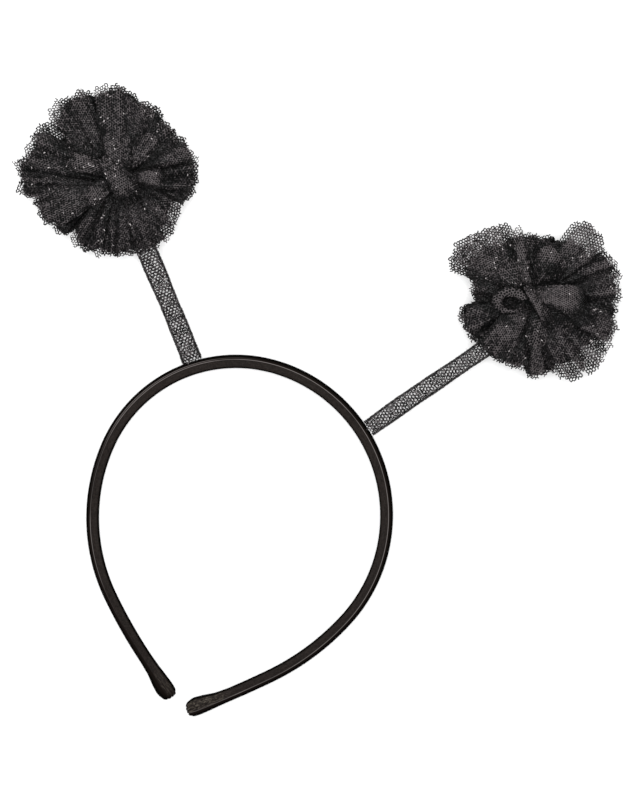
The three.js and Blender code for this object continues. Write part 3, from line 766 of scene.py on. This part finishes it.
def sleeve_line(sleeve, band, net):
    """Foot, end and directions of a sleeve's middle line."""
    arcs = LEFT_ARCS if sleeve.side < 0 else RIGHT_ARCS
    root = arm_point(arcs, sleeve.side, band.width, sleeve.along * band.width)[0] + crown_place(band)
    lean = math.radians(sleeve.lean) * sleeve.side
    reach = sleeve.reach * band.width
    start = np.array([*root, band.depth / 2])
    end = np.array([root[0] + math.sin(lean) * reach, root[1] + math.cos(lean) * reach, net.depth / 2])
    along = (end - start) / np.linalg.norm(end - start)
    across = np.array([math.cos(lean), -math.sin(lean), 0])
    return start, end, along, across, np.cross(across, along)


def pompom_centre(sleeve, pompom, band, net):
    _, end, along, across, _ = sleeve_line(sleeve, band, net)
    plan = np.array([along[0], along[1], 0]) / math.hypot(along[0], along[1])
    centre = end + plan * (net.knot - net.socket) - across * pompom.aside
    centre[2] = net.depth / 2
    return centre


class HEADBAND_OT_band(bpy.types.Operator):
    """Make the satin-covered band"""

    bl_idname = "headband.band"
    bl_label = "Band"

    def execute(self, context):
        band = context.scene.headband_band
        crown = crown_place(band)
        loop = smooth_loop(BAND_SECTION, 64)
        rings, along = [], []
        for arcs, side in ((LEFT_ARCS, -1), (RIGHT_ARCS, 1)):
            total = arm_length(arcs, band.width)
            plain = np.linspace(0, total - band.tip, 150)
            end = total - band.tip * np.linspace(1, 0, 44)[1:] ** 1.4
            arm = [self.ring(loop, arcs, side, s, total, band, crown) for s in [*plain, *end]]
            places = side * np.array([*plain, *end])
            if side < 0:
                rings, along = arm[:0:-1], list(places[:0:-1])
            else:
                rings, along = rings + arm, along + list(places)
        count = len(loop)
        points = np.concatenate(rings)
        ring, spot = np.meshgrid(np.arange(len(rings) - 1), np.arange(count), indexing="ij")
        a = (ring * count + spot).ravel()
        b = (ring * count + (spot + 1) % count).ravel()
        faces = np.column_stack([a, b, b + count, a + count])
        caps = [np.arange(count)[::-1], len(points) - count + np.arange(count)]
        girth = 22 * MM
        around = np.linspace(0, girth, count, endpoint=False)
        uv = np.column_stack([np.repeat(along, count), np.tile(around, len(rings))])
        piece = mesh_piece("band_satin", points, faces, uv=uv)
        self.close_ends(piece, caps)
        # The thin ridge, and where the flat front rolls down on the inner side.
        fold, inner = sorted(around[np.argmin(np.hypot(loop[:, 0] - out, loop[:, 1] - 1))] for out in (0.3, -0.85))
        piece.data.materials.append(satin_material(band, fold, (fold + 0.2 * MM, inner), (along[0], along[-1])))
        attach(piece, "root")
        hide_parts("headband")
        return {"FINISHED"}

    @staticmethod
    def ring(loop, arcs, side, distance, total, band, crown):
        """One section of the band."""
        place, outward = arm_point(arcs, side, band.width, distance)
        back = (total - distance) / band.tip
        flare, close = tip_value("flare", back), tip_value("close", back)
        pleat = band.pleat * tip_value("gather", back)
        half = (band.thick + band.swell * max(0.0, math.cos(distance / total * math.pi))) / 2
        out, up = loop[:, 0], loop[:, 1]
        widen = np.where(out * -side > 0, band.flare, band.back_flare) * flare
        away = out * (half + widen) * (1 - close)
        groove = (1 - np.abs(np.sin(math.pi * out * (1 - close) / 0.43 + 0.6 * side))) ** 2
        folds = groove * 1.2 * pleat * np.clip(up * 2 - 0.9, 0, 1)
        high = np.maximum(band.depth * (0.42 + (up - 0.42) * (1 - close)) - folds, 0)
        longer = 1.6 if side < 0 else 1.1
        notch = pleat * (longer - 1.9 * groove) * np.clip(1 - back / 0.25, 0, 1)
        heading = np.array([side * outward[1], -side * outward[0]])
        plan = crown + place + np.outer(away, outward) + np.outer(notch, heading)
        return np.column_stack([plan, high])

    @staticmethod
    def close_ends(piece, caps):
        """Fill the two puckered ends."""
        bpy.ops.object.select_all(action="DESELECT")
        bpy.context.view_layer.objects.active = piece
        piece.select_set(True)
        bpy.ops.object.mode_set(mode="EDIT")
        bpy.ops.mesh.select_all(action="SELECT")
        bpy.ops.mesh.fill_holes(sides=0)
        bpy.ops.mesh.select_all(action="SELECT")
        bpy.ops.mesh.normals_make_consistent(inside=False)
        bpy.ops.object.mode_set(mode="OBJECT")
        piece.select_set(False)


class HEADBAND_OT_sleeves(bpy.types.Operator):
    """Make the two net sleeves"""

    bl_idname = "headband.sleeves"
    bl_label = "Sleeves"

    def execute(self, context):
        band, net = context.scene.headband_band, context.scene.headband_net
        for number, sleeve in enumerate(SLEEVES):
            rng = np.random.default_rng(20 + number)
            start, end, along, across, over = sleeve_line(sleeve, band, net)
            foot = band.thick / 2 + net.clearance + 0.4 * MM
            top = float(np.linalg.norm(end - start))
            start = start + across * sleeve.aside * MM
            tube, folds = self.tube(start, along, across, over, foot, top, sleeve, net, rng)
            ribbons = [tube, folds]
            # Painted light: the tube's strands get lit and shaded yarn at random, and the pressed folds the darkest
            # yarn, painted shade.
            light = np.concatenate([rng.uniform(-0.1, 1.0, len(tube)), np.full(len(folds), -1.0)])
            piece, _ = net_piece(f"sleeve_{sleeve.node[5:]}", ribbons, light, net, rng)
            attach(piece, "root")
            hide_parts(sleeve.node)
        return {"FINISHED"}

    @staticmethod
    def tube(start, along, across, over, foot, top, sleeve, net, rng):
        """Net rolled round a sleeve's middle line, and the pressed folds along its two sides."""
        wide, deep = sleeve.wide * net.sleeve_wide / 2, net.sleeve_deep / 2
        round_trip = math.pi * (3 * (wide + deep) - math.sqrt((3 * wide + deep) * (wide + 3 * deep)))
        meshes = round(round_trip / net.sleeve_mesh)
        step = net.sleeve_mesh * math.sqrt(3) / 2
        rows = 2 * int((top - foot) / step / 2)
        phase = rng.uniform(0, 6.28, 3)

        def surface(column, row):
            y = foot + row * step + 0.14 * step * np.sin(2.3 * column + 1.7 * row)
            angle = (column + 0.5 * row + 0.12 * np.sin(1.9 * column - 2.6 * row)) * 2 * math.pi / meshes
            angle = angle + 0.5 * np.sin(y / (17 * MM) + phase[0])
            wave = 1 + 0.03 * np.sin(y / (9 * MM) + phase[0]) + 0.02 * np.sin(y / (4 * MM) + phase[1])
            sway = 0.25 * MM * np.sin(y / (21 * MM) + phase[2]) * np.clip((y - foot) / (20 * MM), 0, 1)
            oval = np.outer(wide * wave * np.cos(angle) + sway, across) + np.outer(deep * np.sin(angle), over)
            return start + np.outer(y, along) + oval

        column, row = (grid.ravel() for grid in np.meshgrid(np.arange(meshes), np.arange(rows)))
        high = surface(column - 1 / 6, row + 1 / 3)
        first = np.concatenate([high] * 3)
        second = np.concatenate(
            [surface(column + dc + 1 / 6, row + dr - 1 / 3) for dc, dr in ((0, 0), (0, 1), (-1, 1))]
        )

        def outward(place):
            away = place - start
            return unit(away - np.outer(away @ along, along))

        tilt = rng.normal(0, 0.4, len(first))
        tube = strands(first, second, outward(first), outward(second), sleeve.strand * net.sleeve_strand, tilt)
        folds = []
        rows = np.arange(0, rows, 1.0)
        for side in (0, 0.5):
            # The meshes twist round the sleeve, and the pressed folds don't.
            untwist = 0.08 * meshes * np.sin((foot + rows * step) / (17 * MM) + phase[0])
            line = surface(side * meshes - 0.5 * rows - untwist, rows)
            line = line - outward(line) * net.fold / 2
            for tilt in (0, math.pi / 2):
                ends = line[:-1], line[1:]
                flat = np.tile(over, (len(rows) - 1, 1))
                folds.append(strands(*ends, flat, flat, net.fold, np.full(len(rows) - 1, tilt)))
        return tube, np.concatenate(folds)


class HEADBAND_OT_pompoms(bpy.types.Operator):
    """Make the two pompoms of gathered net"""

    bl_idname = "headband.pompoms"
    bl_label = "Pompoms"

    def execute(self, context):
        band, net = context.scene.headband_band, context.scene.headband_net
        for sleeve, pompom in zip(SLEEVES, POMPOMS):
            rng = np.random.default_rng(pompom.seed)
            centre = pompom_centre(sleeve, pompom, band, net)
            radius = net.radius * pompom.size
            side = pompom.node[7:]
            rim, back = (
                [petal for ring in rings for petal in ring_petals(pompom.outline, ring, net.overlap, rng)]
                for rings in (OUTLINE_RINGS, BACK_RINGS)
            )
            fine, plain = (net.front_mesh, net.front_strand), (net.mesh, net.strand)
            # Each part's mesh and strand, how bright its yarn is painted, how much painted light the depth of the
            # pompom leaves it at least, and its petals.
            parts = {
                "front": (fine, 1.0, 0.08, [*pompom.front, *pompom.heart, *pompom.loops]),
                "rim": (plain, 0.5, 0.2, rim),
                "back": (plain, 0.7, 0.6, back),
            }
            packed, faces, total = [], [], 0
            nets = {part: ([], []) for part in parts}
            for group, (part, (weave, bright, _, petals)) in enumerate(parts.items()):
                for number, petal in enumerate(petals):
                    make = loop_net if petal in pompom.loops else petal_parts
                    chance = np.random.default_rng((pompom.seed, group, int(10 * petal.at), number % 2))
                    made, lit, points, quads = make(petal, centre, radius, net, weave, chance)
                    # The hollows' painted shade.
                    if petal not in pompom.heart and petal not in pompom.loops:
                        lit = lit * shaded(made, centre, radius, pompom.hollows)
                    nets[part][0].append(made)
                    nets[part][1].append(lit * bright)
                    packed.append(points)
                    faces.append(quads + total)
                    total += len(points)
            every = np.concatenate([made for ribbons, _ in nets.values() for made in ribbons])
            # Painted cavity shade: strands that lie lower than the cloth round them get darker yarn, and higher
            # ones brighter.
            lift = np.minimum(0.55 + relief(every, centre, radius) / net.ridge, 0.95)
            done = 0
            for part, (ribbons, light) in nets.items():
                count = sum(len(made) for made in ribbons)
                left = np.maximum(lift[done : done + count], parts[part][2])
                # The pompom's sheen scales its painted light.
                light = np.concatenate(light) * left * pompom.sheen
                piece, area = net_piece(f"net_{part}_{side}", ribbons, light, net, rng)
                done += count
                self.cloth(piece, pompom, area, 0.5)
            # The packed layers under the top net: a near-black sheet, partly painted shade of the layers deep
            # inside.
            layers = mesh_piece(f"packed_{side}", np.concatenate(packed), np.concatenate(faces))
            packing = bpy.data.materials.get("nylon_net_packed") or knot_material(net.knot_colour)
            layers.data.materials.append(packing)
            area = sum(polygon.area for polygon in layers.data.polygons)
            self.cloth(layers, pompom, area, 1)
            self.knot(side, centre, pompom, net, packing)
        return {"FINISHED"}

    @staticmethod
    def cloth(piece, pompom, area, cover):
        """Attach a piece of net, which is a long strip when it is laid flat, to the root body, and hide the
        imported pompom.
        """
        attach(piece, "root")
        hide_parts(pompom.node)

    @staticmethod
    def knot(side, centre, pompom, net, packing):
        """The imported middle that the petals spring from."""
        bpy.ops.object.select_all(action="DESELECT")
        bpy.ops.mesh.primitive_uv_sphere_add(segments=48, ring_count=24, radius=net.knot * 0.9, location=centre)
        knot = bpy.context.object
        knot.name = f"knot_{side}"
        knot.scale = (1, 1, net.knot_depth / net.knot / 2)
        bpy.ops.object.transform_apply(location=True, rotation=True, scale=True)
        wrinkle = bpy.data.textures.new(f"knot_{side}", "CLOUDS")
        wrinkle.noise_scale = 4 * MM
        shape = knot.modifiers.new("Gathers", "DISPLACE")
        shape.texture = wrinkle
        shape.strength = 3 * MM
        bpy.ops.object.modifier_apply(modifier=shape.name)
        bpy.ops.object.shade_smooth()
        knot.data.materials.append(packing)
        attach(knot, "root")
        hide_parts(pompom.node)


class HEADBAND_OT_stage(bpy.types.Operator):
    """Make the floor, the lights and the camera"""

    bl_idname = "headband.stage"
    bl_label = "Stage"

    def execute(self, context):
        stage, band = context.scene.headband_stage, context.scene.headband_band
        bpy.ops.object.select_all(action="DESELECT")
        bpy.ops.mesh.primitive_plane_add(size=4, location=(0, 0, 0))
        floor = bpy.context.object
        floor.name = "floor"
        material, tree = new_material("painted_board_matt")
        finish_material(tree, Base_Color=(*stage.floor, 1), Roughness=0.9, Specular_IOR_Level=0.2)
        floor.data.materials.append(material)

        world = bpy.data.worlds.new("studio")
        world.use_nodes = True
        world.node_tree.nodes["Background"].inputs["Color"].default_value = (1, 1, 1, 1)
        world.node_tree.nodes["Background"].inputs["Strength"].default_value = 0.5
        context.scene.world = world
        # The key hangs over the object so that its shadows stay under it. The side light only models the
        # folds and throws no shadow.
        for name, place, size, power, shadow in (
            ("softbox_key", (0, 0.05, 1.8), 0.6, 24, True),
            ("softbox_side", (-0.9, 0.8, 0.8), 0.6, 9, False),
        ):
            light = bpy.data.lights.new(name, "AREA")
            light.size = size
            light.energy = power
            light.use_shadow = shadow
            lamp = bpy.data.objects.new(name, light)
            lamp.location = place
            lamp.rotation_euler = Vector(place).to_track_quat("Z", "Y").to_euler()
            context.scene.collection.objects.link(lamp)

        # The crown of the band stands at this pixel of the 640 by 800 frame.
        crown_pixel = np.array([271.9, 366.0])
        away = (np.array([320.0, 400.0]) - crown_pixel) * (1, -1) * stage.photo_scale
        c, s = math.cos(stage.turn), math.sin(stage.turn)
        aim = crown_place(band) + (away[0] * c - away[1] * s, away[0] * s + away[1] * c)
        camera = bpy.data.cameras.new("camera")
        camera.sensor_fit = "AUTO"
        camera.sensor_width = 36
        # The scale holds at this height, between the band's front and the pompoms' middle.
        level = 10 * MM
        camera.lens = 36 * (stage.height - level) / (stage.pixels * stage.photo_scale)
        camera.clip_start, camera.clip_end = 0.1, 20
        view = bpy.data.objects.new("camera", camera)
        view.location = (*aim, stage.height)
        view.rotation_euler = (0, 0, stage.turn)
        context.scene.collection.objects.link(view)
        context.scene.camera = view
        context.scene.view_settings.view_transform = "Standard"
        return {"FINISHED"}


class HEADBAND_PT_panel(bpy.types.Panel):
    bl_label = "Headband"
    bl_idname = "HEADBAND_PT_panel"
    bl_space_type = "VIEW_3D"
    bl_region_type = "UI"
    bl_category = "Headband"

    def draw(self, context):
        for group in GROUPS:
            values = getattr(context.scene, group)
            for name in values.__annotations__:
                self.layout.prop(values, name)
        for operator in OPERATORS:
            self.layout.operator(operator.bl_idname)


OPERATORS = (HEADBAND_OT_stage, HEADBAND_OT_band, HEADBAND_OT_sleeves, HEADBAND_OT_pompoms)
GROUPS = {"headband_band": BandSizes, "headband_net": NetSizes, "headband_stage": StageSizes}
CLASSES = (*GROUPS.values(), *OPERATORS, HEADBAND_PT_panel)


def register():
    for cls in CLASSES:
        bpy.utils.register_class(cls)
    for name, group in GROUPS.items():
        setattr(bpy.types.Scene, name, PointerProperty(type=group))


def unregister():
    for name in GROUPS:
        delattr(bpy.types.Scene, name)
    for cls in reversed(CLASSES):
        bpy.utils.unregister_class(cls)


def main():
    register()
    bpy.ops.headband.stage()
    bpy.ops.headband.band()
    bpy.ops.headband.sleeves()
    bpy.ops.headband.pompoms()


if __name__ == "__main__":
    main()
